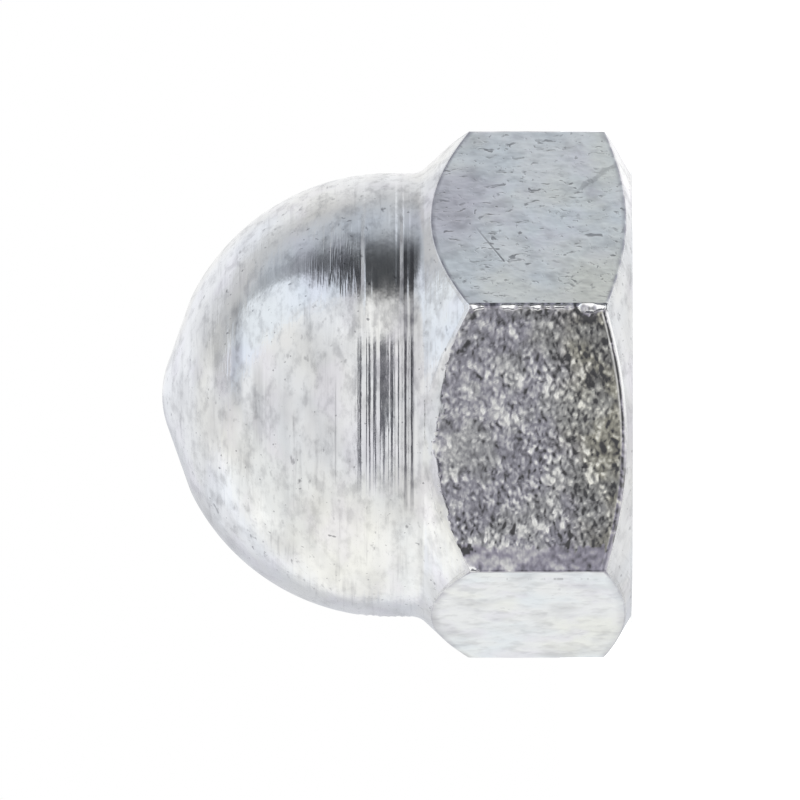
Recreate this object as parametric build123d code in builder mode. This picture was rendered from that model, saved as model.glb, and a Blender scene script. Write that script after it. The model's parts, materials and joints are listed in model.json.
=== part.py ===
from build123d import *
from math import cos, pi, radians, sqrt, tan
import os

# Domed cap nut for an M8 bolt end, turned in one piece from hexagon bar.
# The origin is the centre of the bearing face. +Z runs along the thread axis to the tip of the dome.
# Two corners of the hexagon lie on X and two flats face Y. Lengths are in mm, angles in degrees.

# Hexagon, with a flat cone turned at its bearing face and a steep one at its shoulder
sides = 6
across_flats = 13.0
corner_radius = 0.12
bearing_step = 0.32
bearing_cone_rise = 30
shoulder_cone_angle = 43

# Dome, with a straight land below it and a blunt cone for a nose
overall_height = 13.1
dome_step = 0.3
land_height = 0.82
neck_radius = 0.5
nose_diameter = 5.4
nose_slope = 19.5
nose_radius = 2.6
crest_radius = 2.5

# Blind hole for the thread
thread_diameter = 8.0
thread_pitch = 1.25
drill_allowance = 0.05
drill_point_angle = 118
tip_wall = 1.45
mouth_clearance = 0.25
mouth_angle = 120

# Room that the turned outline leaves round the corners of the bar
corner_margin = 0.5

# Radii of the turned outline. The bearing face and the dome both lie a small step inside the flats.
flat_distance = across_flats / 2
corner_distance = flat_distance / cos(pi / sides)
bearing_radius = flat_distance - bearing_step
dome_radius = flat_distance - dome_step
outline_radius = corner_distance + corner_margin

# Heights of the turned outline, from the tip down. The nose cone would come to its point
# above the tip, where it is rounded off instead.
nose_centre = overall_height - nose_radius
nose_point = nose_centre + nose_radius / cos(radians(nose_slope))
crest_height = nose_point - nose_diameter / 2 * tan(radians(nose_slope))
dome_centre = crest_height - sqrt(dome_radius**2 - (nose_diameter / 2) ** 2)
hexagon_height = dome_centre - land_height

# The hole has the tapping size, and its drilled point stops short of the tip by the tip wall.
hole_radius = (thread_diameter - thread_pitch + drill_allowance) / 2
mouth_radius = thread_diameter / 2 + mouth_clearance
drill_point_height = hole_radius / tan(radians(drill_point_angle / 2))
hole_depth = overall_height - tip_wall - drill_point_height

upright = 90

with BuildPart() as cap_nut:
    # Length of hexagon bar with its corners slightly rounded
    with BuildSketch(Plane.XY):
        RegularPolygon(radius=flat_distance, side_count=sides, major_radius=False)
    extrude(amount=overall_height)
    fillet(cap_nut.edges().filter_by(Axis.Z), radius=corner_radius)

    # Half outline that the bar is turned to. Both cones run out past the corners of the bar,
    # so they end in the curved edges where they cut the flats.
    with BuildSketch(Plane.XZ) as outline:
        with BuildLine():
            bearing_face = Line((0, 0), (bearing_radius, 0))
            bearing_cone = PolarLine(
                bearing_face @ 1,
                outline_radius - bearing_radius,
                bearing_cone_rise,
                length_mode=LengthMode.HORIZONTAL,
            )
            land = Line((dome_radius, hexagon_height), (dome_radius, dome_centre))
            shoulder_cone = PolarLine(
                land @ 0,
                outline_radius - dome_radius,
                shoulder_cone_angle - upright,
                length_mode=LengthMode.HORIZONTAL,
            )
            Line(bearing_cone @ 1, shoulder_cone @ 1)
            dome = TangentArc(land @ 1, (nose_diameter / 2, crest_height), tangent=land % 1)
            nose = CenterArc((0, nose_centre), nose_radius, upright, -nose_slope)
            Line(dome @ 1, nose @ 1)
            Line(nose @ 0, bearing_face @ 0)
        make_face()
        neck_corner = outline.vertices().sort_by_distance(land @ 0).first
        fillet(neck_corner, radius=neck_radius)
        crest_corner = outline.vertices().sort_by_distance(dome @ 1).first
        fillet(crest_corner, radius=crest_radius)
    revolve(axis=Axis.Z, mode=Mode.INTERSECT)

    # Blind hole, with a countersunk mouth in the bearing face and the cone of the drill at its end
    mouth_face = cap_nut.faces().sort_by(Axis.Z).first
    with Locations(Plane(mouth_face)):
        CounterSinkHole(hole_radius, mouth_radius, depth=hole_depth, counter_sink_angle=mouth_angle)
    with Locations((0, 0, hole_depth)):
        Cone(
            hole_radius,
            0,
            drill_point_height,
            align=(Align.CENTER, Align.CENTER, Align.MIN),
            mode=Mode.SUBTRACT,
        )

cap_nut.part.label = "cap_nut"

os.makedirs("parts", exist_ok=True)
export_step(cap_nut.part, "parts/cap_nut.step")
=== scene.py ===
import json
from math import asin, atan2, cos, degrees, dist, pi, radians, sin, sqrt, tan

import bpy
import numpy as np
from mathutils import Matrix, Vector, noise


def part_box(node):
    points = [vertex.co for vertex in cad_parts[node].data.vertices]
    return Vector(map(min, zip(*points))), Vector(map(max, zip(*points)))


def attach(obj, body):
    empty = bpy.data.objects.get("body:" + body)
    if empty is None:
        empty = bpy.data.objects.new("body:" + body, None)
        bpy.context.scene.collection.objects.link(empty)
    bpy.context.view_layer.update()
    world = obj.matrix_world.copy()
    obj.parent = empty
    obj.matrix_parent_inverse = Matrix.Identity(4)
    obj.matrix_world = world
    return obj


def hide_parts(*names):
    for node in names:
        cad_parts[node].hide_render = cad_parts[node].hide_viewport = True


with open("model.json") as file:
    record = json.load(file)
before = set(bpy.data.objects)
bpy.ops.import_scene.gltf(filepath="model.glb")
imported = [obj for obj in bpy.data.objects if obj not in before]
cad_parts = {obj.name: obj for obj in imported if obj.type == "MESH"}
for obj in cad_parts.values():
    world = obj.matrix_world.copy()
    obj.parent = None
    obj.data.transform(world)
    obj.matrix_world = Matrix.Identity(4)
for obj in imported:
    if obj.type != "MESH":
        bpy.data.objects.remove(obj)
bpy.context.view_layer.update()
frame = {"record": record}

# The nut stands on its bearing face, with +Z along the thread axis to the tip of the dome.
# Corners of the hexagon lie at 0, 60, 120 ... degrees round the axis from +X. Lengths are in metres.
NODE = "cap_nut"
mm = 0.001
node_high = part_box(NODE)[1]
thread_mount = next(m for m in frame["record"]["mounts"] if m["name"] == "thread")

# Hexagon with its two turned cones
sides = 6
flat_distance = node_high.y
overall_height = node_high.z
corner_radius = 0.12 * mm
bearing_radius = flat_distance - 0.32 * mm
bearing_cone_rise = 30
shoulder_cone_drop = 47

# Dome, land and nose
dome_radius = flat_distance - 0.3 * mm
land_height = 0.82 * mm
neck_radius = 0.5 * mm
nose_half_width = 2.7 * mm
nose_slope = 19.5
nose_radius = 2.6 * mm
crest_radius = 2.5 * mm

# Threaded hole
hole_radius = thread_mount["dims"]["r_mm"] * mm
thread_radius = 4 * mm
thread_pitch = 1.25 * mm
thread_depth = 8.6 * mm
thread_runout = 0.9 * mm
flank_angle = 30
mouth_radius = thread_radius + 0.25 * mm
mouth_angle = 120
drill_point_angle = 118
tip_wall = 1.45 * mm

# Heights that follow, from the tip down
nose_centre = overall_height - nose_radius
nose_point = nose_centre + nose_radius / cos(radians(nose_slope))
crest_height = nose_point - nose_half_width * tan(radians(nose_slope))
dome_centre = crest_height - sqrt(dome_radius**2 - nose_half_width**2)
hexagon_height = dome_centre - land_height
point_height = hole_radius / tan(radians(drill_point_angle / 2))
hole_depth = overall_height - tip_wall - point_height

# The camera looks square at the axis, 10.9 degrees round from -Y towards +X, and is rolled so that
# the dome points left. The flat that faces -Y is the coarse one.
camera_turn = radians(10.9)
to_camera = Vector((sin(camera_turn), -cos(camera_turn), 0))
photo_up = Vector((cos(camera_turn), sin(camera_turn), 0))
photo_right = Vector((0, 0, -1))
camera_distance = 0.8
picture_side = 800
metres_per_pixel = 0.027943 * mm
bearing_pixel = 631
axis_pixel = 395

rough_face = -90
smooth_face = -30
face_angle = 360 / sides
smooth_heading = Vector((cos(radians(smooth_face)), sin(radians(smooth_face)), 0))


class Skin:
    """Collects the points and faces of one closed mesh."""

    def __init__(self):
        self.points = []
        self.layers = {"along": [], "level": [], "grained": [], "edge": [], "bare": []}
        self.faces = []
        self.finishes = []
        self.count = 0

    def add(self, places, **values):
        """Adds points and returns their numbers. along is a point's way from the tip down the turned outline
        in mm. The others run from 0 to 1, and edge beyond that: level is the tone of the grain, mostly its
        height, painted as shade when low and as highlight when high, grained how far the grain covers it,
        edge how much darker the edge of a flat is painted, and bare how bright, as worn metal and painted
        highlight."""
        shape = places.shape[:-1]
        total = int(np.prod(shape))
        self.points.append(places.reshape(-1, 3))
        for title, layer in self.layers.items():
            layer.append(np.broadcast_to(values.get(title, 0), shape).reshape(-1))
        numbers = np.arange(self.count, self.count + total).reshape(shape)
        self.count += total
        return numbers

    def face(self, corners, finish):
        self.faces.extend(corners)
        self.finishes.extend([finish] * len(corners))

    def grid(self, rows, finish, ring=True):
        """Fills between rows of as many points each, by default rings."""
        if ring:
            rows = np.hstack((rows, rows[:, :1]))
        corners = np.stack((rows[:-1, :-1], rows[1:, :-1], rows[1:, 1:], rows[:-1, 1:]), axis=-1)
        self.face(corners.reshape(-1, 4).tolist(), finish)

    def stitch(self, first, first_places, second, second_places, finish):
        """Fills between two unlike rows with triangles, in the order of their places."""
        i, j, corners = 0, 0, []
        while i < len(first) - 1 or j < len(second) - 1:
            at_end = j == len(second) - 1
            if at_end or (i < len(first) - 1 and first_places[i + 1] <= second_places[j + 1]):
                corners.append((first[i], second[j], first[i + 1]))
                i += 1
            else:
                corners.append((first[i], second[j], second[j + 1]))
                j += 1
        self.face(np.array(corners).tolist(), finish)

    def join_rings(self, first, first_angles, second, second_angles, finish):
        """Stitches two closed rings whose angles both start at the seam."""
        closed = []
        for ring, angles in ((first, first_angles), (second, second_angles)):
            closed += [np.append(ring, ring[0]), np.append(angles, angles[0] + 360)]
        self.stitch(*closed, finish)

    def fan(self, ring, place, finish):
        """Closes a ring at one point."""
        tip = self.add(np.array([place]))
        corners = np.column_stack((ring, np.roll(ring, -1), tip.repeat(len(ring))))
        self.face(corners.tolist(), finish)

    def build(self, name, materials):
        mesh = bpy.data.meshes.new(name)
        mesh.from_pydata(np.vstack(self.points).tolist(), [], self.faces)
        for material in materials:
            mesh.materials.append(material)
        mesh.polygons.foreach_set("material_index", np.array(self.finishes, np.int32))
        for title, values in self.layers.items():
            layer = mesh.attributes.new(title, "FLOAT", "POINT")
            layer.data.foreach_set("value", np.concatenate(values).astype(np.float32))
        mesh.polygons.foreach_set("use_smooth", np.ones(len(mesh.polygons), bool))
        mesh.update()
        return new_object(name, mesh)


def new_object(name, data):
    thing = bpy.data.objects.new(name, data)
    bpy.context.scene.collection.objects.link(thing)
    return thing


# Finishes, in the order of the material slots
TURNED, DRAWN, COARSE, THREAD = range(4)


def line(start, end, step):
    """Points from start towards end, about one step apart, without the end."""
    count = max(1, round(dist(start, end) / step))
    shares = np.arange(count)[:, None] / count
    return np.array(start) + shares * (np.array(end) - np.array(start))


def arc(centre, radius, first, last, step):
    """Points on an arc between two angles in degrees, without the last one."""
    count = max(1, round(radius * radians(abs(last - first)) / step))
    angles = np.radians(first + (last - first) * np.arange(count) / count)
    return np.array(centre) + radius * np.column_stack((np.cos(angles), np.sin(angles)))


def field(places, offset):
    """Smooth noise, about -1 to 1, at places in its own units."""
    flat = places.reshape(-1, 3) + offset
    values = np.fromiter((noise.noise(p) for p in flat.tolist()), float, len(flat))
    return values.reshape(places.shape[:-1])


def noise_over(u, v, per_u, per_v, offset):
    """Smooth noise over two lengths, with cells of their own size along each."""
    return field(np.stack((u * per_u, v * per_v, u * 0), axis=-1), offset)


def noise_along(length, per_unit, offset):
    return noise_over(length, length, per_unit, 0, offset)


def bell(value, middle, width):
    return np.exp(-(((value - middle) / width) ** 2))


def smooth(value, low, high):
    """0 below low, 1 above high and a smooth step between them."""
    share = np.clip((value - low) / (high - low), 0, 1)
    return share * share * (3 - 2 * share)


# Steps of the mesh
nose_step = 0.09 * mm
dome_step = 0.075 * mm
mark_step = 0.022 * mm
neck_step = 0.033 * mm
mark_top = dome_centre + 1.05 * mm
dome_columns = 150
thread_step = 0.06 * mm
first_thread_ring = 0.012 * mm
thread_columns = 72

# Seams of the mesh lie this many degrees beside corners, and rings start at the one below the coarse flat
beside_corner = 2.6
worn_corner = rough_face + face_angle / 2
low_corner = rough_face - face_angle / 2
seam = low_corner - beside_corner


def turned_outline():
    """Radii and heights of the turned outline from the tip to the end of the neck."""
    slant = radians(nose_slope)
    slope = tan(slant)
    inner = dome_radius - crest_radius
    rise = nose_point - crest_radius / cos(slant) - dome_centre
    root = sqrt((slope * rise) ** 2 - (1 + slope**2) * (rise**2 - inner**2))
    crest_out = (slope * rise + root) / (1 + slope**2)
    crest_up = rise - slope * crest_out
    crest_centre = (crest_out, dome_centre + crest_up)
    crest_angle = degrees(atan2(crest_up, crest_out))
    mark_angle = degrees(asin((mark_top - dome_centre) / dome_radius))
    face_up = 90 - nose_slope
    crest = arc(crest_centre, crest_radius, face_up, crest_angle, nose_step)
    nose = arc((0, nose_centre), nose_radius, 90, face_up, nose_step)[1:]
    nose_end = (nose_radius * sin(slant), nose_centre + nose_radius * cos(slant))
    land_end = hexagon_height + neck_radius * tan(radians(90 - shoulder_cone_drop) / 2)
    neck = arc((dome_radius + neck_radius, land_end), neck_radius, 180, 270 - shoulder_cone_drop, neck_step)
    dome = arc((0, dome_centre), dome_radius, crest_angle, mark_angle, dome_step)
    foot = arc((0, dome_centre), dome_radius, mark_angle, 0, mark_step)
    land = line((dome_radius, dome_centre), (dome_radius, land_end), mark_step)
    return np.vstack((nose, line(nose_end, crest[0], nose_step), crest, dome, foot, land, neck))


# Passes of the tool from the dome down: the height of each in mm, and how steeply its sides rise in the
# photo's upper, middle and lower part
tool_passes = (
    (7.519, 0.38, 0.38, 0.36),
    (7.279, 0.06, 0.36, 0.6),
    (7.125, 0.06, 0.3, 0.55),
    (6.885, 0.06, 0.1, 0.34),
    (6.678, 0.1, 0.22, 0.36),
    (6.497, 0.38, 0.6, 0.6),
    (6.301, 0.38, 0.4, 0.4),
    (6.12, 0.24, 0.36, 0.36),
)
below_passes = 0.09 * mm
above_passes = 0.085 * mm

# Direction of the photo's middle round the axis, and where its upper and lower part begin, in degrees
view_angle = -79.1
upper_part = (19, 28)
lower_part = (2, 18)


def turned_from(angles, place):
    """Angles counted from a place, from -180 to 180."""
    return (angles - place + 180) % 360 - 180


def tool_marks(heights, angles):
    """Depth of the scalloped passes of the tool."""
    passes = np.array(tool_passes[::-1])
    lines = passes[:, 0] * mm
    between = (lines[1:] + lines[:-1]) / 2
    cusps = np.r_[lines[0] - below_passes, between, lines[-1] + above_passes]
    from_view = turned_from(np.degrees(angles), view_angle)
    upper = smooth(from_view, *upper_part)
    lower = smooth(-from_view, *lower_part)
    around = np.stack((np.cos(angles) * 2, np.sin(angles) * 2, heights / mm * 0.5), axis=-1)
    uneven = 0.85 + 0.45 * field(around, 11)
    depth = np.zeros_like(heights)
    for low, high, (bottom, high_tilt, middle_tilt, low_tilt) in zip(cusps, cusps[1:], passes):
        inside = (heights >= low) & (heights < high)
        half = (high - low) / 2
        from_bottom = np.clip((heights - bottom * mm) / half, -1, 1)
        tilt = middle_tilt + (high_tilt - middle_tilt) * upper + (low_tilt - middle_tilt) * lower
        depth = np.where(inside, tilt * half * 0.5 * (1 - from_bottom**2), depth)
    return depth * uneven


def degrees_round(columns):
    """Angles of a ring's columns, from the seam."""
    return seam + 360 * np.arange(columns) / columns


def ring_places(outline, columns):
    """Radii, heights and angles of an outline turned round the axis."""
    radii = outline[:, :1] * np.ones(columns)
    heights = outline[:, 1:] * np.ones(columns)
    return radii, heights, np.ones((len(outline), 1)) * np.radians(degrees_round(columns))


def to_points(radii, heights, angles):
    xyz = np.broadcast_arrays(radii * np.cos(angles), radii * np.sin(angles), heights)
    return np.stack(xyz, axis=-1)


def cap(skin):
    """Dome, land and neck. Returns the last ring and its place along."""
    outline = turned_outline()
    reach = np.r_[0, np.cumsum(np.linalg.norm(np.diff(outline, axis=0), axis=1))]
    slopes = np.gradient(outline, axis=0)
    slopes /= np.linalg.norm(slopes, axis=1)[:, None]
    radii, heights, angles = ring_places(outline, dome_columns)
    depth = tool_marks(heights, angles)
    radii = radii + slopes[:, 1:] * depth
    heights = heights - slopes[:, :1] * depth
    along = (reach + nose_step)[:, None] / mm
    rings = skin.add(to_points(radii, heights, angles), along=along)
    skin.grid(rings, TURNED)
    skin.fan(rings[0], (0, 0, overall_height), TURNED)
    return rings[-1], float(along[-1, 0])


# Steps in degrees and rows of the coarse, the smooth and the other flats
coarse_mesh = (0.36, 172)
smooth_mesh = (1, 56)
plain_mesh = (2.4, 24)
edge_rows = 6
coarse_edge_rows = 14
cone_rows = 9
corner_offsets = (-1.1, -0.8, -0.62, -0.46, -0.3, -0.15, 0, 0.15, 0.3, 0.46, 0.62, 0.8, 1.1)
worn_offsets = tuple(round(0.2 * k, 1) for k in range(-9, 10))
bevel_columns = 0.85
half_turn = radians(face_angle / 2)
half_side = flat_distance / mm * tan(half_turn)
corner_reach = flat_distance / cos(half_turn)
burr_rows = 15
burr_rows_height = 0.26
least_row = 0.003
upper_rounding = 0.05
plain_lower_rounding = 0.06 * mm
coarse_lower_rounding = 0.085 * mm

# How deep a bevel cuts into a corner, as a share of its width
bevel_depth = 1 / (2 * tan(radians(face_angle)))


def from_nearest_corner(angles):
    return (angles + face_angle / 2) % face_angle - face_angle / 2


def corner_distance(angles, rounding, bevel=0, lean=0):
    """Distance from the axis to a hexagon with rounded corners, cut back by a bevel."""
    signed = np.radians(from_nearest_corner(angles))
    from_corner = np.abs(signed)
    straight = flat_distance / np.cos(half_turn - from_corner)
    centre = (flat_distance - rounding) / cos(half_turn)
    across = rounding**2 - (centre * np.sin(from_corner)) ** 2
    curved = centre * np.cos(from_corner) + np.sqrt(np.maximum(across, 0))
    tangent = half_turn - np.arctan((flat_distance - rounding) * tan(half_turn) / flat_distance)
    outside = np.where(from_corner < tangent, curved, straight)
    cut = (corner_reach - bevel) * np.cos(lean) / np.cos(signed - lean)
    return np.where(bevel > 0, np.minimum(outside, cut), outside)


def near(angles, place, width):
    """1 at an angle round the axis, falling smoothly to 0 one width away."""
    return 1 - smooth(np.abs(turned_from(angles, place)), 0, width)


def nick_width(heights):
    """Width in mm of the broken bevel between the coarse and the smooth flat."""
    up = heights / mm
    broken = 0.19 * noise_along(up, 1.9, 51) + 0.15 * noise_along(up, 4.2, 13)
    return np.clip(0.065 + broken + 0.17 * bell(up, 1.15, 0.32) + 0.08 * bell(up, 2.5, 0.35), 0.012, 0.27)


def hexagon_distance(angles, heights):
    """Distance from the axis to the side of the hexagon. One corner has a worn bevel."""
    up = heights / mm + 0 * angles
    number = np.floor((angles + face_angle / 2) / face_angle) + 0 * up
    bruise = np.clip(0.5 + noise_over(up, number, 1.1, 7, 3), 0, 1)
    worn = near(angles, worn_corner, 6) + 0 * up
    rounding = corner_radius + bruise * 0.05 * mm
    bevel = np.where(worn > 0, nick_width(up * mm) * mm * bevel_depth, 0)
    lean = radians(1.5) * noise_along(up, 3, 77)
    return corner_distance(angles, rounding * (1 - 0.4 * worn), bevel, lean)


# How the turned edge rolls over onto the coarse flat, in mm
roll_middle = 0.62
roll_width = 2.9
roll_bulge = 0.55
roll_bulge_place = 0.85


def edge_rounding(angles):
    """Rounding of the flats' upper edge, soft and uneven along the coarse one."""
    across = flat_distance / mm * np.tan(np.radians(np.clip(angles - rough_face, -40, 40)))
    coarse = 1 - smooth(np.abs(across), roll_width - 1.1, roll_width + 0.5)
    uneven = 1 + 0.35 * noise_along(across, 1.7, 21) + 0.25 * noise_along(across, 5.5, 27)
    bulge = roll_bulge * bell(across, roll_bulge_place, 0.35)
    return (upper_rounding + coarse * (roll_middle * uneven + bulge)) * mm


# Grain of the coarse flat, in mm: scattered chips in two sizes, longer across the flat.
# Each size has its spacing both ways, its length and width, and how far it turns either way.
large_chips = (0.14, 0.095, 0.08, 0.034, radians(38))
small_chips = (0.078, 0.058, 0.045, 0.024, radians(60))
chip_lean = radians(14)
grain_middle = 0.036
grain_depth = 0.0095
deepest_grain = 0.08
strip_width = 0.72
strip_calm = 0.72
burr_height = 0.03
burr_place = 0.03
gutter_place = 0.09
inner_burr_place = 0.145
table_side = 64
chip_table = np.random.default_rng(12).random((table_side, table_side, 5))


def chips(across, up, spacing, up_spacing, length, width, spread):
    """Scattered chips, some high and some low, summed and scaled to a spread of 1."""
    u = across / spacing
    v = up / up_spacing
    i = np.floor(u).astype(int)
    j = np.floor(v).astype(int)
    total = np.zeros(u.shape)
    for di in range(-2, 3):
        for dj in range(-2, 3):
            chip = chip_table[(i + di) % table_side, (j + dj) % table_side]
            off_across = (u - (i + di + chip[..., 0])) * spacing
            off_up = (v - (j + dj + chip[..., 1])) * up_spacing
            turn = chip_lean + spread * (2 * chip[..., 2] - 1)
            size = 0.6 + 0.8 * chip[..., 4]
            along = (off_across * np.cos(turn) + off_up * np.sin(turn)) / (length * size)
            beside = (off_up * np.cos(turn) - off_across * np.sin(turn)) / (width * size)
            high = 2 * chip[..., 3] - 1
            distance = along**2 + beside**2
            total += np.sign(high) * np.abs(high) ** 1.5 * np.exp(-0.4 * distance - 0.12 * distance**2)
    return total / total.std()


def grain(across, up):
    """Height of the grain about its middle, with a spread of about 1."""
    warped_across = across + 0.06 * noise_over(across, up, 3.5, 4.5, 9)
    warped_up = up + 0.05 * noise_over(across, up, 3.5, 4.5, 19)
    large = chips(warped_across, warped_up, *large_chips)
    small = chips(warped_across + 31, warped_up + 17, *small_chips)
    level = large + small + 1.1 * noise_over(across, up, 1.6, 1.6, 70)
    level = level / level.std()
    calm = smooth(up, 1.8, 4) * smooth(across, -2.8, -1.4)
    return level * (1.03 - 0.3 * calm + 0.35 * noise_over(across, up, 0.9, 0.9, 90))


# Missing chips and smeared metal on the coarse flat: across and up in mm, half sizes both ways,
# and how much they darken and brighten
marked_spots = (
    (-3.1, 4.61, 0.17, 0.24, 2.4, 0),
    (-3.74, 4.54, 0.12, 0.22, 0, 0.9),
    (0.6, 5.1, 0.25, 0.08, 0.8, 0),
)


def side_rows(rows, finish):
    """Shares of the height at which a flat has rows, closer together by the burr."""
    shares = np.linspace(0, 1, rows)
    if finish != COARSE:
        return shares
    fine = np.linspace(1 - burr_rows_height / (hexagon_height / mm), 1, burr_rows)
    return np.r_[shares[shares < fine[0] - least_row], fine]


def sector_angles(start, end, step):
    """Angles of the columns of one side: even, and closer together on the corners."""
    corners = []
    for corner in np.arange(round(start / face_angle), round(end / face_angle) + 1) * face_angle:
        offsets = worn_offsets if corner == worn_corner else corner_offsets
        corners += [corner + offset for offset in offsets if start < corner + offset < end]
    even = np.linspace(start, end, max(2, round((end - start) / step)), endpoint=False)
    clear = [a for a in even if a == start or min((abs(a - c) for c in corners), default=step) > step * 0.45]
    return np.array(sorted(clear + corners))


def shoulder_cone_height(radii):
    return hexagon_height - (radii - dome_radius) * tan(radians(shoulder_cone_drop))


def base_cone_height(radii):
    return (radii - bearing_radius) * tan(radians(bearing_cone_rise))


def bend(side, end, rounding, turns):
    """Radii and heights where a side rounds off past its straight end, upwards or downwards."""
    turns = turns[:, None]
    return side - rounding + rounding * np.cos(turns), end + rounding * np.sin(turns)


def sector(skin, start, end, step, rows, finish):
    """Side of the hexagon between two angles, from the upper edge to the lower one."""
    angles = sector_angles(start, end, step)
    rounding = edge_rounding(angles)
    lower_rounding = coarse_lower_rounding if finish == COARSE else plain_lower_rounding
    top_turn = radians(90 - shoulder_cone_drop)
    low_turn = radians(90 - bearing_cone_rise)
    bend_rows = coarse_edge_rows if finish == COARSE else edge_rows

    distance = corner_distance(angles, corner_radius)
    upper = hexagon_distance(angles, shoulder_cone_height(distance))
    lower = hexagon_distance(angles, base_cone_height(distance))
    top = shoulder_cone_height(upper)
    bottom = base_cone_height(lower)
    straight_top = top - rounding * tan(top_turn / 2)
    straight_bottom = bottom + lower_rounding * tan(low_turn / 2)
    turns = np.linspace(top_turn, 0, bend_rows, endpoint=False)
    upper_bend = bend(upper, straight_top, rounding, turns)
    shares = side_rows(rows, finish)[:, None]
    heights = straight_top + (straight_bottom - straight_top) * shares
    straight = (hexagon_distance(angles, heights), heights)
    lower_bend = bend(lower, straight_bottom, lower_rounding, np.linspace(0, -low_turn, edge_rows + 1)[1:])
    radii, heights = np.hstack((upper_bend, straight, lower_bend))
    places = to_points(radii, heights, np.radians(angles))
    values = {"edge": edge_darkening(angles, heights, top, bottom)}
    if finish == COARSE:
        places, relief = coarse_relief(places, heights, top, bottom, straight_top)
        values.update(relief)
    numbers = skin.add(places, **values)
    before = np.linspace(-0.02, 0, bend_rows, endpoint=False)
    row_places = np.r_[before, shares[:, 0], np.linspace(1.002, 1.02, edge_rows)]
    paint_sector(skin, numbers, angles, finish, values.get("grained"))
    return numbers, angles, row_places


def edge_darkening(angles, heights, top, bottom):
    """How much darker a flat is painted near its edges: 1 at its edges and 0 a short way in, and most at the
    low corner, where it is painted shade over the edge's reflected highlight.
    """
    from_corner = np.abs(np.radians(from_nearest_corner(angles))) * half_side * 2
    from_side = np.minimum((top - heights) / mm, (heights - bottom) / mm)
    stronger = 1 - near(angles, worn_corner, 3) + 1.2 * near(angles, low_corner, 3)
    return stronger * (1 - smooth(np.minimum(from_corner, from_side), 0, 0.075))


def paint_sector(skin, numbers, angles, finish, grained):
    """Turned metal on the edge that rolls over the coarse flat, and drawn metal beyond its corners."""
    if finish != COARSE:
        skin.grid(numbers, finish, ring=False)
        return
    low_end = np.searchsorted(angles, low_corner - 0.05)
    high_end = np.searchsorted(angles, worn_corner + bevel_columns)
    skin.grid(numbers[:, : low_end + 1], DRAWN, ring=False)
    skin.grid(numbers[:, high_end:], DRAWN, ring=False)
    skin.grid(numbers[coarse_edge_rows:, low_end : high_end + 1], COARSE, ring=False)
    for row in range(coarse_edge_rows):
        for column in range(low_end, high_end):
            part = np.s_[row : row + 2, column : column + 2]
            skin.grid(numbers[part], COARSE if grained[part].mean() > 0.25 else TURNED, ring=False)


def smooth_strip(across, up, ragged):
    """Share of the smoother strip along the lower corner, and the tone of its soft lumps."""
    end = strip_width + 0.16 * noise_along(up, 1.2, 15) + 0.22 * ragged
    share = 1 - smooth(half_side + across, end - 0.1, end + 0.08)
    lumps = noise_over(across, up, 3, 2.2, 45) + 0.7 * noise_over(across, up, 6.5, 6, 47)
    return share, lumps


def burr_lines(across, from_bottom, inside):
    """Crest of the burr on the lower edge, its lines painted bright as highlight and the gutter between
    them, painted dark as shade.
    """
    share = inside * (0.15 + 0.85 * smooth(across, -1.6, 1.8))
    crest = share * (1 - smooth(np.abs(from_bottom - burr_place), 0.01, 0.05))
    outer = share * (1 - smooth(from_bottom, 0.035, 0.065))
    inner = share * (1 - smooth(np.abs(from_bottom - inner_burr_place), 0.012, 0.035))
    gutter = share * (1 - smooth(np.abs(from_bottom - gutter_place), 0.015, 0.035))
    return crest, np.maximum(outer, 0.55 * inner), gutter


def nicks(places, across, up, bevel):
    """1 on the bevel that is broken into the worn corner: worn metal, painted bright as a highlight."""
    outward = radians(worn_corner)
    out = (places[..., 0] * cos(outward) + places[..., 1] * sin(outward)) / mm
    bevel_out = corner_reach / mm - bevel * bevel_depth
    cut = smooth(out, bevel_out - 0.028, bevel_out - 0.012) * smooth(bevel, 0.02, 0.06)
    return cut * (1 - 0.75 * smooth(noise_over(across, up, 5, 5.5, 57), 0.02, 0.3))


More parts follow.
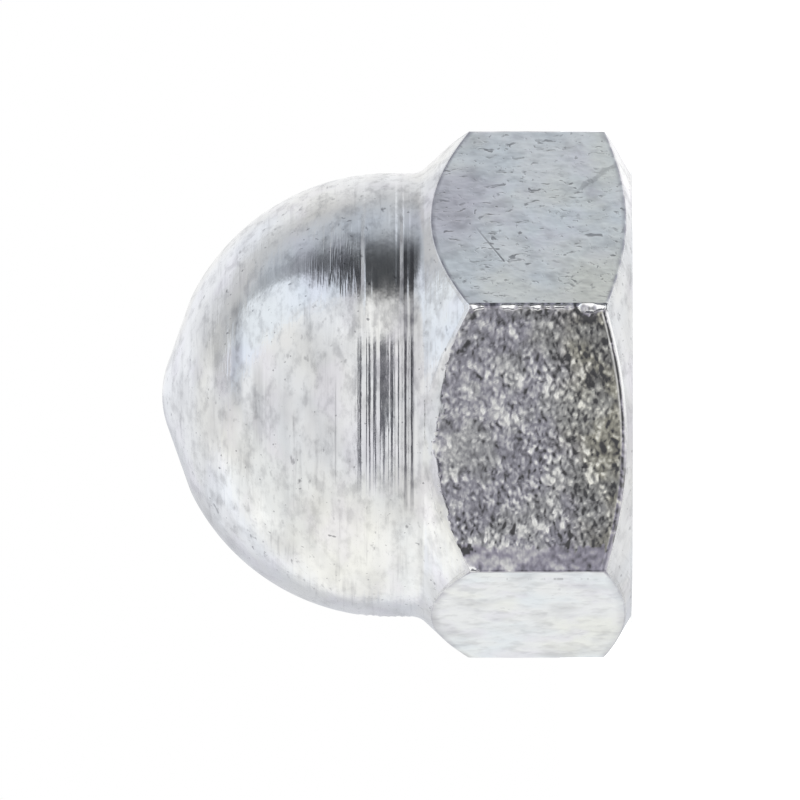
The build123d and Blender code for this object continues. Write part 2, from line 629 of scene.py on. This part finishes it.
def coarse_relief(places, heights, top, bottom, roll_end):
    """Pushes the grain into the flat that faces -Y, and leaves a burr along its lower edge."""
    across = places[..., 0] / mm
    up = heights / mm
    from_worn = half_side - across
    from_plain = half_side + across
    from_top = (top - heights) / mm
    from_bottom = (heights - bottom) / mm
    ragged = noise_over(across, up, 4.5, 6, 33) + 0.7 * noise_over(across, up, 11, 13, 35)
    high = grain(across, up)

    bevel = nick_width(heights)
    start = bevel * (0.6 + 0.5 * smooth(bevel, 0.1, 0.2))
    sides_cover = smooth(from_worn, start, start + 0.08) * smooth(from_plain, 0.02, 0.12)
    sides_cover *= smooth(from_top, 0, 0.05) * smooth(from_bottom, 0.09, 0.15)
    over_roll = (roll_end - heights) / mm + 0.15 + 0.11 * ragged + 0.05 * high
    cover = sides_cover * smooth(over_roll, -0.01, 0.03)
    sunk = sides_cover * smooth(over_roll, -0.02, 0.35)
    strip, lumps = smooth_strip(across, up, ragged)
    rough_share = 1 - strip_calm * strip
    inside = smooth(from_worn, bevel * 0.6, bevel * 0.6 + 0.2) * smooth(from_plain, 0, 0.2)
    crest, bare, gutter = burr_lines(across, from_bottom, inside)
    nicked = nicks(places, across, up, bevel)
    bare = np.maximum(bare, nicked)

    shade_beyond_nick = smooth(-from_worn, 0, 0.02) * (1 - nicked)
    shade_under_nick = bell(from_worn - bevel, 0.14, 0.17) * (0.6 + 0.5 * smooth(bevel, 0.08, 0.2))
    # Tone of the grain: painted highlight on its tops and painted shade in its low places, lighter towards
    # the top of the flat and darker towards the worn corner
    broad = noise_over(across, up, 0.45, 0.55, 105)
    tone = (high + 0.9 * broad) * rough_share + (0.4 + 1.5 * lumps) * strip - 0.42
    tone += 0.6 * smooth(up, 0.8, 5) + 0.1 * smooth(up, 3.6, 4.8) - 0.3 * smooth(across, 1.6, 2.8)
    # Painted shade in the burr's gutter, under and beside the nick, and along the low corner
    tone -= 2 * gutter + 1.1 * shade_under_nick + 0.7 * shade_beyond_nick
    tone -= (0.9 + 0.8 * ragged) * (1 - smooth(from_plain, 0.03, 0.08))
    for spot_across, spot_up, half_across, half_up, darker, brighter in marked_spots:
        off = ((across - spot_across) / half_across) ** 2 + ((up - spot_up) / half_up) ** 2
        spot = 1 - smooth(off + 1.5 * ragged, 0.5, 1.3)
        tone -= darker * spot
        bare = np.maximum(bare, brighter * spot)

    depth = sunk * rough_share * np.clip(grain_middle - grain_depth * high, 0, deepest_grain)
    depth += 0.03 * np.clip(0.7 - lumps, 0, 1.6) * cover * strip
    depth += inside * burr_height * (1 - crest) * smooth(from_top, 0, 0.3)
    moved = places.copy()
    moved[..., 1] += np.maximum(depth, 0) * mm
    return moved, {"level": np.clip(0.5 + tone / 6, 0, 1), "grained": cover * rough_share, "bare": bare}


def hexagon(skin):
    """Sides of the hexagon. Returns their upper and lower ring and its angles."""
    edges = [seam + face_angle * k for k in range(sides + 1)]
    edges[1] = worn_corner + beside_corner
    kinds = [(*coarse_mesh, COARSE), (*smooth_mesh, DRAWN)] + [(*plain_mesh, DRAWN)] * (sides - 2)
    made = [sector(skin, start, end, *kind) for start, end, kind in zip(edges, edges[1:], kinds)]
    for k, (here, _, here_rows) in enumerate(made):
        there, _, there_rows = made[(k + 1) % sides]
        skin.stitch(there[:, 0], there_rows, here[:, -1], here_rows, DRAWN)
    upper = np.concatenate([numbers[0] for numbers, _, _ in made])
    lower = np.concatenate([numbers[-1] for numbers, _, _ in made])
    return upper, lower, np.concatenate([angles for _, angles, _ in made])


# Values of along past the shoulder, apart so that no rings repeat
base_cone_along = 30
base_cone_end_along = 32
bearing_along = 40
hole_along = 60
drill_point_along = 75
base_cone_rows = 6
base_rounding = 0.07 * mm
roll_step = 0.012 * mm
bearing_step = 0.12 * mm
past_ring = 0.02 * mm


def cone_between(skin, upper_points, lower_points, rows, along):
    """Straight rows between two rings with the same angles."""
    shares = np.linspace(0, 1, rows + 2)[1:-1, None, None]
    places = upper_points * (1 - shares) + lower_points * shares
    reach = along + np.linalg.norm(places - upper_points, axis=2) / mm
    return skin.add(places, along=reach)


def points_of(skin, numbers):
    return np.vstack(skin.points)[numbers]


def shoulder(skin, neck_ring, along, hexagon_ring, angles):
    """Cone between the neck and the upper edge of the flats."""
    x, y, z = points_of(skin, neck_ring)[0]
    drop = radians(shoulder_cone_drop)
    radius = sqrt(x * x + y * y) + past_ring * cos(drop)
    begin = to_points(radius, z - past_ring * sin(drop), np.radians(angles))
    first = skin.add(begin, along=along + past_ring / mm)
    middle = cone_between(skin, begin, points_of(skin, hexagon_ring), cone_rows, along)
    skin.join_rings(neck_ring, degrees_round(dome_columns), first, angles, TURNED)
    skin.grid(np.vstack((first[None], middle, hexagon_ring[None])), TURNED)


def base(skin, hexagon_ring, angles):
    """Lower cone and bearing face, up to the mouth of the hole. Returns the last ring."""
    turn = radians(bearing_cone_rise)
    tangent = base_rounding * tan(turn / 2)
    end = to_points(bearing_radius + tangent * cos(turn), tangent * sin(turn), np.radians(angles))
    rows = cone_between(skin, points_of(skin, hexagon_ring), end, base_cone_rows, base_cone_along)
    last = skin.add(end, along=base_cone_end_along)
    skin.grid(np.vstack((hexagon_ring[None], rows, last[None])), TURNED)
    flat_start = bearing_radius - tangent
    rolled = arc((flat_start, base_rounding), base_rounding, 0.66 * bearing_cone_rise - 90, -90, roll_step)
    flat = line((flat_start - past_ring, 0), (mouth_radius, 0), bearing_step)
    profile = np.vstack((rolled, (flat_start, 0), flat, (mouth_radius + past_ring, 0)))
    radii, heights, round_axis = ring_places(profile, dome_columns)
    rings = skin.add(to_points(radii, heights, round_axis), along=bearing_along + radii / mm)
    skin.join_rings(last, angles, rings[0], degrees_round(dome_columns), TURNED)
    skin.grid(rings, TURNED)
    return rings[-1]


def hole(skin, mouth_ring):
    """Countersunk mouth, thread and drill point."""
    threads = np.arange(first_thread_ring, thread_depth + thread_runout, thread_step)
    heights = np.r_[threads, hole_depth - past_ring, hole_depth]
    _, up, angles = ring_places(np.column_stack((heights, heights)), thread_columns)
    turns = up / thread_pitch - angles / (2 * pi)
    from_groove = np.abs(turns % 1 - 0.5) * thread_pitch
    bottom_half = thread_pitch / 16
    flank = tan(radians(flank_angle))
    groove = np.clip(thread_radius - (from_groove - bottom_half) / flank, hole_radius, thread_radius)
    fade = smooth(up, thread_depth, thread_depth + thread_runout)
    threaded = groove - (thread_radius - hole_radius) * fade
    countersunk = mouth_radius - up * tan(radians(mouth_angle / 2))
    radii = np.maximum(np.maximum(threaded, hole_radius), countersunk)
    rings = skin.add(to_points(radii, up, angles), along=hole_along + up / mm)
    skin.join_rings(mouth_ring, degrees_round(dome_columns), rings[0], degrees_round(thread_columns), THREAD)
    skin.grid(rings, THREAD)
    shares = np.array([0.08, 0.3, 0.6, 0.9])
    profile = np.column_stack((hole_radius * (1 - shares), hole_depth + point_height * shares))
    point = skin.add(to_points(*ring_places(profile, thread_columns)), along=drill_point_along)
    skin.grid(np.vstack((rings[-1:], point)), THREAD)
    skin.fan(point[-1][::-1], (0, 0, hole_depth + point_height), THREAD)


class Value:
    """What a node's output gives. Sums, differences and products of values are nodes too."""

    def __init__(self, socket):
        self.socket = socket

    def node(self, kind, reads=(), **settings):
        return add_node(self.socket.id_data, kind, reads, **settings)

    def work(self, operation, *others, output=0):
        """A math node for numbers or for places that reads this value first."""
        kind = "Math" if self.socket.type == "VALUE" else "VectorMath"
        node = self.node(kind, enumerate((self, *others)), operation=operation)
        return Value(node.outputs[output])

    def __add__(self, other):
        return self.work("ADD", other)

    def __sub__(self, other):
        return self.work("SUBTRACT", other)

    def __rsub__(self, other):
        return self * -1 + other

    def __mul__(self, other):
        return self.work("MULTIPLY", other)

    def larger(self, other):
        return self.work("MAXIMUM", other)

    def smaller(self, other):
        return self.work("MINIMUM", other)

    def along(self, direction):
        """How far a place lies in one direction."""
        return self.work("DOT_PRODUCT", direction, output=1)

    def step(self, low, high, start=0, end=1, kind="SMOOTHSTEP"):
        """start below low, end above high, and a smooth change between them."""
        reads = {"Value": self, "From Min": low, "From Max": high, "To Min": start, "To Max": end}
        return Value(self.node("MapRange", reads, interpolation_type=kind).outputs["Result"])

    def slope(self, low, high, start=0, end=1):
        """start below low, end above high, and an even change between them."""
        return self.step(low, high, start, end, "LINEAR")

    def window(self, low, high, soft_low, soft_high):
        """1 between low and high, and soft outside them."""
        return self.step(low - soft_low, low) * self.step(high, high + soft_high, 1, 0)

    def noise(self, scale, detail=2, rough=0.5, output="Fac"):
        """Noise at this place."""
        reads = {"Vector": self, "Scale": scale, "Detail": detail, "Roughness": rough}
        return Value(self.node("TexNoise", reads).outputs[output])

    def mix(self, first, second):
        """The first colour where this value is 0 and the second where it is 1."""
        node = self.node("Mix", {0: self, 6: first, 7: second}, data_type="RGBA")
        return Value(node.outputs[2])

    def bump(self, distance, below=None):
        """Normal of a surface that this value raises, on top of an earlier normal."""
        reads = {"Height": self, "Distance": distance, "Strength": 1}
        if below is not None:
            reads["Normal"] = below
        return Value(self.node("Bump", reads).outputs["Normal"])

    def layer(self, name):
        """A layer of the mesh."""
        node = self.node("Attribute", attribute_name=name, attribute_type="GEOMETRY")
        return Value(node.outputs["Fac"])


def add_node(tree, kind, reads=(), **settings):
    """Adds a node. Its inputs read numbers, values or the first output of other nodes."""
    node = tree.nodes.new("ShaderNode" + kind)
    for name, value in settings.items():
        setattr(node, name, value)
    for name, value in dict(reads).items():
        socket = node.inputs[name]
        if isinstance(value, Value):
            tree.links.new(value.socket, socket)
        elif isinstance(value, bpy.types.Node):
            tree.links.new(value.outputs[0], socket)
        elif isinstance(value, (int, float)) and socket.type == "VECTOR":
            socket.default_value = (value, value, value)
        else:
            socket.default_value = value
    return node


def new_material(name):
    material = bpy.data.materials.new(name)
    material.use_nodes = True
    material.node_tree.nodes.clear()
    return material


def new_metal(name):
    """A material, and the place on it in mm."""
    material = new_material(name)
    place = Value(add_node(material.node_tree, "TexCoord").outputs["Object"])
    return material, place * (1 / mm)


# Plated zinc reflects nearly white, with a tint that wanders over it: clear, blue, warm and violet
zinc_tints = ((0.8, 0.805, 0.81, 1), (0.765, 0.785, 0.81, 1), (0.8, 0.8, 0.775, 1), (0.77, 0.755, 0.81, 1))
bar_tints = ((0.94, 0.955, 0.955, 1), (0.9, 0.945, 0.97, 1), (0.95, 0.96, 0.9, 1), (0.89, 0.885, 0.94, 1))
stain_violet = (0.85, 0.82, 0.9, 1)
stain_warm = (0.94, 0.93, 0.83, 1)
grain_violet = (0.39, 0.385, 0.44, 1)
strip_violet = (0.4, 0.385, 0.46, 1)
grain_olive = (0.4, 0.39, 0.335, 1)
grain_grey = (0.395, 0.4, 0.405, 1)
grain_highlight = (0.92, 0.92, 0.9, 1)
grain_highlight_cream = (0.93, 0.92, 0.85, 1)
grain_shade = (0.09, 0.09, 0.095, 1)
bare_and_highlight_white = (0.97, 0.97, 0.97, 1)
speck_and_shade_dark = (0.17, 0.17, 0.19, 1)
edge_shade = (0.36, 0.355, 0.4, 1)
thread_grey = (0.4, 0.4, 0.42, 1)


def tinted(place, scale, clear, blue, warm, violet):
    """Wandering tint of the plating."""
    first = place.noise(scale, 3).step(0.4, 0.62)
    second = (place + (31, 17, 5)).noise(scale * 0.8, 3).step(0.45, 0.66)
    third = (place + (7, 43, 11)).noise(scale * 1.7, 3).step(0.48, 0.7)
    colour = (second * 0.75).mix(first.mix(clear, blue), warm)
    return (third * 0.6).mix(colour, violet)


def finish_metal(colour, roughness, normal):
    reads = {"Base Color": colour, "Roughness": roughness, "Normal": normal, "Metallic": 1}
    colour.node("OutputMaterial", {"Surface": colour.node("BsdfPrincipled", reads)})


def round_axis(place, turns, per_mm):
    """Places that run slowly round the axis and fast along the turned outline."""
    heading = (place * (1, 1, 0)).work("NORMALIZE")
    level = place.node("CombineXYZ", {"Z": place.layer("along") * per_mm})
    return heading * turns + level


# Heights in mm of the scratched foot of the dome and of the band next to the neck that is painted darker as
# shade
scratched_zone = (7.55, 8.8)
shaded_neck_zone = (5.95, 6.42)

# Rings of painted shade and dark reflection, only on the side that faces the camera: height, half width,
# where they start and end towards the photo's top, and strength
painted_shade_rings = (
    (6.12, 0.035, -2.7, 3.9, 0.4),
    (6.3, 0.035, -2.7, 3.9, 0.4),
    (8.243, 0.014, -2, -0.1, 0.3),
    (10.4, 0.09, -1, 0.5, 0.2),
    (10.98, 0.1, 0.2, 2.3, 0.27),
)

# Satin rings, which stay light across the dark reflection: heights and half width
satin_rings = (6.41, 7.49)
satin_half = 0.03


def turned_zinc():
    """Dome, land, neck and cones: broken rings from the turning tool, soft blotches and dark specks."""
    material, place = new_metal("turned_zinc")
    height = place.along((0, 0, 1))
    up = place.along(photo_up)
    tall = place * (0.55, 0.55, 1)
    rings = round_axis(place, 2.2, 7.5).noise(1, 3, 0.6)
    bands = round_axis(place, 0.9, 1.6).noise(1)
    blotches = tall.noise(3.6, 3, 0.6)
    shown = place.noise(0.7).step(0.42, 0.62)

    shade = rings.step(0.52, 0.72) * (shown * 0.75 + 0.25) * 0.22
    shade += tall.noise(1, 3, 0.55).step(0.42, 0.68, 0, 0.18)
    # Blotches are half as strong on the side against photo_up: painted light that makes that side lighter
    shade += blotches.step(0.45, 0.7, 0, 0.27) * up.step(-5.5, -2, 0.5, 1)
    shade += bands.step(0.48, 0.7, 0, 0.09)
    # Painted shade in the crease by the neck, on the side towards photo_up
    shade += height.window(*shaded_neck_zone, 0.1, 0.14) * up.step(-1.5, 1) * 0.13
    # Painted shade and dark reflections as rings, only where the nut faces the camera
    facing = place.along(to_camera).step(2, 4)
    for middle, half, low, high, dark in painted_shade_rings:
        ring = height.window(middle - half, middle + half, half, half)
        shade += ring * up.window(low, high, 0.8, 0.6) * facing * dark
    specks = (tall + (5, 3, 9)).noise(4.3, 2.5, 0.6).step(0.6, 0.77) * (shown * 0.45 + 0.35)
    dots = place.noise(6.5, 1).step(0.7, 0.79, 0, 0.7)
    tint = tinted(tall, 0.6, *zinc_tints)
    colour = shade.larger(specks.larger(dots)).mix(tint, speck_and_shade_dark)

    roughness = bands.step(0.35, 0.7, 0.11, 0.18) + blotches.step(0.4, 0.7, 0, 0.1)
    for middle in satin_rings:
        ring = height.window(middle - satin_half, middle + satin_half, satin_half, satin_half)
        roughness += ring * up.window(2.9, 4.6, 0.4, 0.7) * 0.5

    scratched = round_axis(place, 4, 9).noise(1, 2, 0.6).step(0.46, 0.72)
    scratched *= height.window(*scratched_zone, 0.5, 0.5) * (shown * 0.6 + 0.4)
    scratched *= up.window(3.2, 4.5, 0.9, 0.6)
    turned = (scratched * 1.6 + rings).bump(0.006 * mm)
    finish_metal(colour, roughness, tall.noise(2.4, 3, 0.55).bump(0.014 * mm, turned))
    return material


# Broken scratch along the flat below the coarse one, in mm towards the photo's top
dashed_line = (-5.13, -5.09)

# Slanting scratch on the smooth flat: its direction, and its place along and beside that in mm
scratch_run = 0.64 * photo_right - 0.77 * photo_up
scratch_side = -0.77 * photo_right - 0.64 * photo_up
scratch_along = (-6.3, -5.15)
scratch_beside = (0.36, 0.385)

# Stain that slants over the smooth flat, in mm towards the photo's top
stain_streak = (6.66, 6.74)
stain_slant = 0.65


def drawn_marks(place, up, on_flat):
    """Dashes, specks and scratches of the drawn flats."""
    wavy = place * (1, 1, 0.55) + place.noise(1.8, output="Color") * 0.5
    shown = place.noise(0.6).step(0.4, 0.6)
    marks = wavy.noise(6).step(0.58, 0.72) * (shown * 0.5 + 0.22)
    marks = marks.larger((wavy * (1, 1, 0.6)).noise(4).step(0.65, 0.75, 0, 0.65))
    marks = marks.larger(place.noise(5.5, 2, 0.55).step(0.62, 0.76, 0, 0.5)) * (on_flat * 0.6 + 0.4)
    run = place.along(scratch_run)
    scratch = place.along(scratch_side).window(*scratch_beside, 0.02, 0.02)
    scratch *= run.window(*scratch_along, 0.1, 0.05) * run.slope(*scratch_along, 0.3, 0.8)
    lined = up.window(*dashed_line, 0.03, 0.03) * place.along(to_camera).step(3, 4)
    broken = (place * (0, 0, 1)).noise(1.7, 3, 0.65).step(0.5, 0.58)
    return marks.larger(scratch * on_flat).larger(lined * broken * 0.55)


def drawn_zinc():
    """Smooth flats of the drawn bar: dark dashes along the bar, soft clouds and a satin sheen."""
    material, place = new_metal("drawn_zinc")
    height = place.along((0, 0, 1))
    up = place.along(photo_up)
    on_flat = place.along(smooth_heading).step(6.1, 6.4)
    marks = drawn_marks(place, up, on_flat)
    mottle = (place * (1, 1, 0.8)).noise(2.4, 2, 0.55)
    shade = place.noise(0.8, 3, 0.55).step(0.46, 0.66, 0, 0.15) + mottle.step(0.48, 0.7, 0, 0.19)
    shade *= on_flat * 0.18 + 0.82
    stained = (place.noise(0.9, 3) * 2.4 + height).step(4.4, 6.4) * up.window(4.7, 5.9, 0.8, 0.6) * on_flat
    slant = (place.noise(3, 3) - 0.5) * 0.5 + height * stain_slant + up
    streak = slant.window(*stain_streak, 0.08, 0.1) * height.step(1.2, 2, 1, 0) * on_flat
    # The last term paints the drawn flats other than the smooth one darker: painted shade
    shade += stained * 0.15 + streak * 0.3 + on_flat.slope(0, 1, 0.13, 0)
    yellowed = up.step(3.2, 4.6, 0.8, 0) * height.step(1.2, 2.8, 1, 0) * on_flat
    tint = (stained * 0.7).mix(tinted(place, 0.5, *bar_tints), stain_violet)
    colour = shade.larger(marks).mix(yellowed.mix(tint, stain_warm), speck_and_shade_dark)
    # Flats are painted darker near their edges, as painted shade at the low corner, and more on the smooth
    # flat
    edge = place.layer("edge") * place.noise(2.3).step(0.3, 0.6, 0.25, 0.6)
    edge *= on_flat.slope(0, 1, 1, 1.7)
    roughness = place.noise(1.4, 3) * 0.16 + 0.32
    dented = (1 - marks).bump(0.008 * mm, mottle.bump(0.022 * mm))
    finish_metal(edge.smaller(1).mix(colour, edge_shade), roughness, dented)
    return material


def coarse_zinc():
    """Grained flat: painted shade in its low places and painted highlight on the tops of the grain."""
    material, place = new_metal("coarse_zinc")
    grained = place.layer("grained")
    bare = place.layer("bare")
    crumbs = (place * (0.6, 1, 1)).noise(9, 2, 0.6)
    olive = (place.noise(0.6, 3) * 5 - place.along((0, 0, 1))).step(-0.1, 1.9)
    grey = (place + (3, 9, 21)).noise(0.9, 3).step(0.44, 0.6)
    tint = (grey * 0.7).mix(olive.mix(grain_violet, grain_olive), grain_grey)
    tint = grained.step(0.3, 0.8, 1, 0).mix(tint, strip_violet)
    high = (crumbs - 0.5) * grained.slope(0.3, 0.8, 0.25, 0.45) + place.layer("level")
    # Painted shade where the grain is low and painted highlight where it is high
    colour = high.slope(0.16, 0.5, 1, 0).mix(tint, grain_shade)
    colour = high.slope(0.5, 0.83).mix(colour, olive.mix(grain_highlight, grain_highlight_cream))
    # Painted highlight on the burr's lines, the nicked bevel and the smeared spot, which are also worn and
    # smeared metal
    colour = bare.mix(colour, bare_and_highlight_white)
    roughness = bare.slope(0.2, 0.9, 0.46, 0.14)
    rough = bare.slope(0, 1, 1, 0) * grained.slope(0.3, 0.8, 0.3, 1)
    finish_metal(colour, roughness, (crumbs * rough).bump(0.02 * mm))
    return material


def thread_zinc():
    """Inside the hole: cut metal with a thinner, duller plating."""
    material, place = new_metal("thread_zinc")
    rings = round_axis(place, 3, 9).noise(1, 4, 0.6)
    colour = rings.step(0.35, 0.8, 0.1, 0.45).mix(tinted(place, 0.8, *zinc_tints), thread_grey)
    roughness = place.noise(2, 3) * 0.2 + 0.28
    finish_metal(colour, roughness, rings.bump(0.006 * mm))
    return material


def nut():
    """The whole nut as one closed mesh."""
    skin = Skin()
    neck_ring, along = cap(skin)
    upper, lower, angles = hexagon(skin)
    shoulder(skin, neck_ring, along, upper, angles)
    mouth_ring = base(skin, lower, angles)
    hole(skin, mouth_ring)
    materials = [turned_zinc(), drawn_zinc(), coarse_zinc(), thread_zinc()]
    piece = skin.build("cap_nut_body", materials)
    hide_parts(NODE)
    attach(piece, "root")


# Studio as polished metal sees it: white, with a dim gap round the camera and a dark panel above. Rise is
# up from the horizon and turn from the camera towards the photo's top, in degrees. A stretch is where it
# starts and ends, and how softly it does each.
gap_turn = (-32, 27, 24, 5)
gap_rise = (-8, 8, 5, 5)
gap_dark = 0.88
panel_from = 53
panel_lean_start = 12
panel_lean = 1.17
panel_level = 0.085
diffuse_level = 0.8

# Brighter stretches of the low side: turn, rise and added light
side_glows = (
    ((-130, -84, 14, 20), (-20, 20, 15, 15), 0.13),
    ((-135, -112, 15, 15), (42, 60, 10, 10), 0.208),
)

# Stretches that are lighter or darker by a share: under, behind, overhead and beside the gap
under_turn = (-180, -146, 1, 14)
under_rise = (-18, 18, 12, 12)
soft_lights = (
    (under_turn, under_rise, -0.2),
    ((145, 180, 15, 1), (-30, -20, 17, 15), 0.22),
    ((-45, 35, 20, 20), (32, 60, 10, 10), -0.06),
    ((31, 45, 6, 7), (2, 18, 6, 8), 0.12),
)

# Tints of what metal sees
white = (1, 1, 1, 1)
gap_tint = (0.97, 0.98, 1.1, 1)
warm_tint = (1.005, 1, 0.965, 1)
under_tint = (0.96, 0.975, 1.02, 1)
away_tint = (1.01, 1.025, 1.06, 1)
cool_tint = (0.962, 1.02, 1.098, 1)


def dark_panel(turn, rise):
    """1 on the dark panel, which leans back as it rises and fades out at its other edges."""
    leaned = (rise - panel_lean_start).larger(0) * -panel_lean + turn
    beyond = (rise - 20).larger(0) * -0.4 + turn
    clears = beyond.step(75, 104, panel_level, 0.66) + beyond.step(118, 146, 0, 0.34)
    clears += turn.step(86, 98) * rise.step(-16, -4, 0.5, 0)
    clears = clears.smaller(1).larger(rise.step(10, 56, 0, 0.58))
    return leaned.step(panel_from - 4, panel_from + 3) * (1 - clears) * rise.step(-42, -18)


def studio_world():
    """White surround. Only metal sees the gap, the panel and the softer lights."""
    world = bpy.data.worlds.new("studio")
    world.use_nodes = True
    world.cycles.sampling_method = "NONE"
    bpy.context.scene.world = world
    tree = world.node_tree
    tree.nodes.clear()
    heading = Value(add_node(tree, "TexCoord").outputs["Generated"])
    rise = heading.along((0, 0, 1)).work("ARCSINE").work("DEGREES")
    turn = heading.along(photo_up).work("ARCTAN2", heading.along(to_camera)).work("DEGREES")

    gap = turn.window(*gap_turn) * rise.window(*gap_rise)
    level = (gap * -gap_dark + 1) * (1 - dark_panel(turn, rise))
    side = turn.step(-150, -120, 0.93, 1.01)
    for turned, risen, added in side_glows:
        side += turn.window(*turned) * rise.window(*risen) * added
    level *= side
    for turned, risen, lighter in soft_lights:
        level *= turn.window(*turned) * rise.window(*risen) * lighter + 1

    away = turn.work("ABSOLUTE").step(115, 150) * rise.window(24, 50, 12, 15)
    colour = gap.mix(white, gap_tint)
    colour = turn.window(-125, -60, 12, 25).mix(colour, warm_tint)
    colour = (turn.window(*under_turn) * rise.window(*under_rise)).mix(colour, under_tint)
    colour = turn.window(60, 102, 8, 25).mix(away.mix(colour, away_tint), cool_tint)

    rays = add_node(tree, "LightPath").outputs
    glossy = Value(rays["Is Glossy Ray"])
    strength = Value(rays["Is Diffuse Ray"]) * diffuse_level + Value(rays["Is Camera Ray"])
    strength += glossy * level + Value(rays["Is Transmission Ray"])
    background = {"Color": glossy.mix(white, colour), "Strength": strength}
    add_node(tree, "OutputWorld", {"Surface": add_node(tree, "Background", background)})


# Floor: just below the bearing face, and lifted to white where the camera sees it
floor_half = 0.35
floor_height = -0.02 * mm
floor_white = (0.88, 0.88, 0.88, 1)
floor_lift = 0.45


def white_floor():
    """Pale paper, clear from below so that the bearing face can be seen."""
    material = new_material("white_floor")
    tree = material.node_tree
    seen = Value(add_node(tree, "LightPath").outputs["Is Camera Ray"])
    below = Value(add_node(tree, "NewGeometry").outputs["Backfacing"])
    paper = add_node(tree, "BsdfDiffuse", {"Color": floor_white})
    glow = add_node(tree, "Emission", {"Color": white, "Strength": seen * floor_lift})
    lit = add_node(tree, "AddShader", {0: paper, 1: glow})
    clear = add_node(tree, "BsdfTransparent")
    choice = add_node(tree, "MixShader", {0: below, 1: lit, 2: clear})
    add_node(tree, "OutputMaterial", {"Surface": choice})
    return material


def floor():
    """Square that the nut stands on."""
    mesh = bpy.data.meshes.new("floor")
    signs = ((-1, -1), (1, -1), (1, 1), (-1, 1))
    mesh.from_pydata([(x * floor_half, y * floor_half, floor_height) for x, y in signs], [], [(0, 1, 2, 3)])
    mesh.materials.append(white_floor())
    ground = new_object("floor", mesh)
    ground.visible_glossy = False


def softbox(name, heading, distance, size, power):
    """Square lamp that looks at the nut. It lights the floor, and metal sees the surround instead."""
    lamp = bpy.data.lights.new(name, "AREA")
    lamp.size = size
    lamp.energy = power
    thing = new_object(name, lamp)
    thing.location = heading.normalized() * distance
    thing.rotation_mode = "QUATERNION"
    thing.rotation_quaternion = heading.to_track_quat("Z", "Y")
    thing.visible_glossy = False


def camera():
    """Camera of the photograph."""
    view = bpy.data.cameras.new("camera")
    view.lens = view.sensor_width * camera_distance / (picture_side * metres_per_pixel)
    view.clip_start = 0.01
    view.clip_end = 10
    middle = picture_side / 2
    target = -photo_right * (bearing_pixel - middle) * metres_per_pixel
    target += photo_up * (axis_pixel - middle) * metres_per_pixel
    thing = new_object("camera", view)
    axes = Matrix((photo_right, photo_up, to_camera)).transposed()
    thing.rotation_mode = "QUATERNION"
    thing.rotation_quaternion = axes.to_quaternion()
    thing.location = target + to_camera * camera_distance
    bpy.context.scene.camera = thing


nut()
studio_world()
floor()
softbox("key", to_camera - photo_right * 1.1 + photo_up * 0.3, distance=0.5, size=0.35, power=2.6)
camera()
bpy.context.scene.view_settings.view_transform = "Standard"
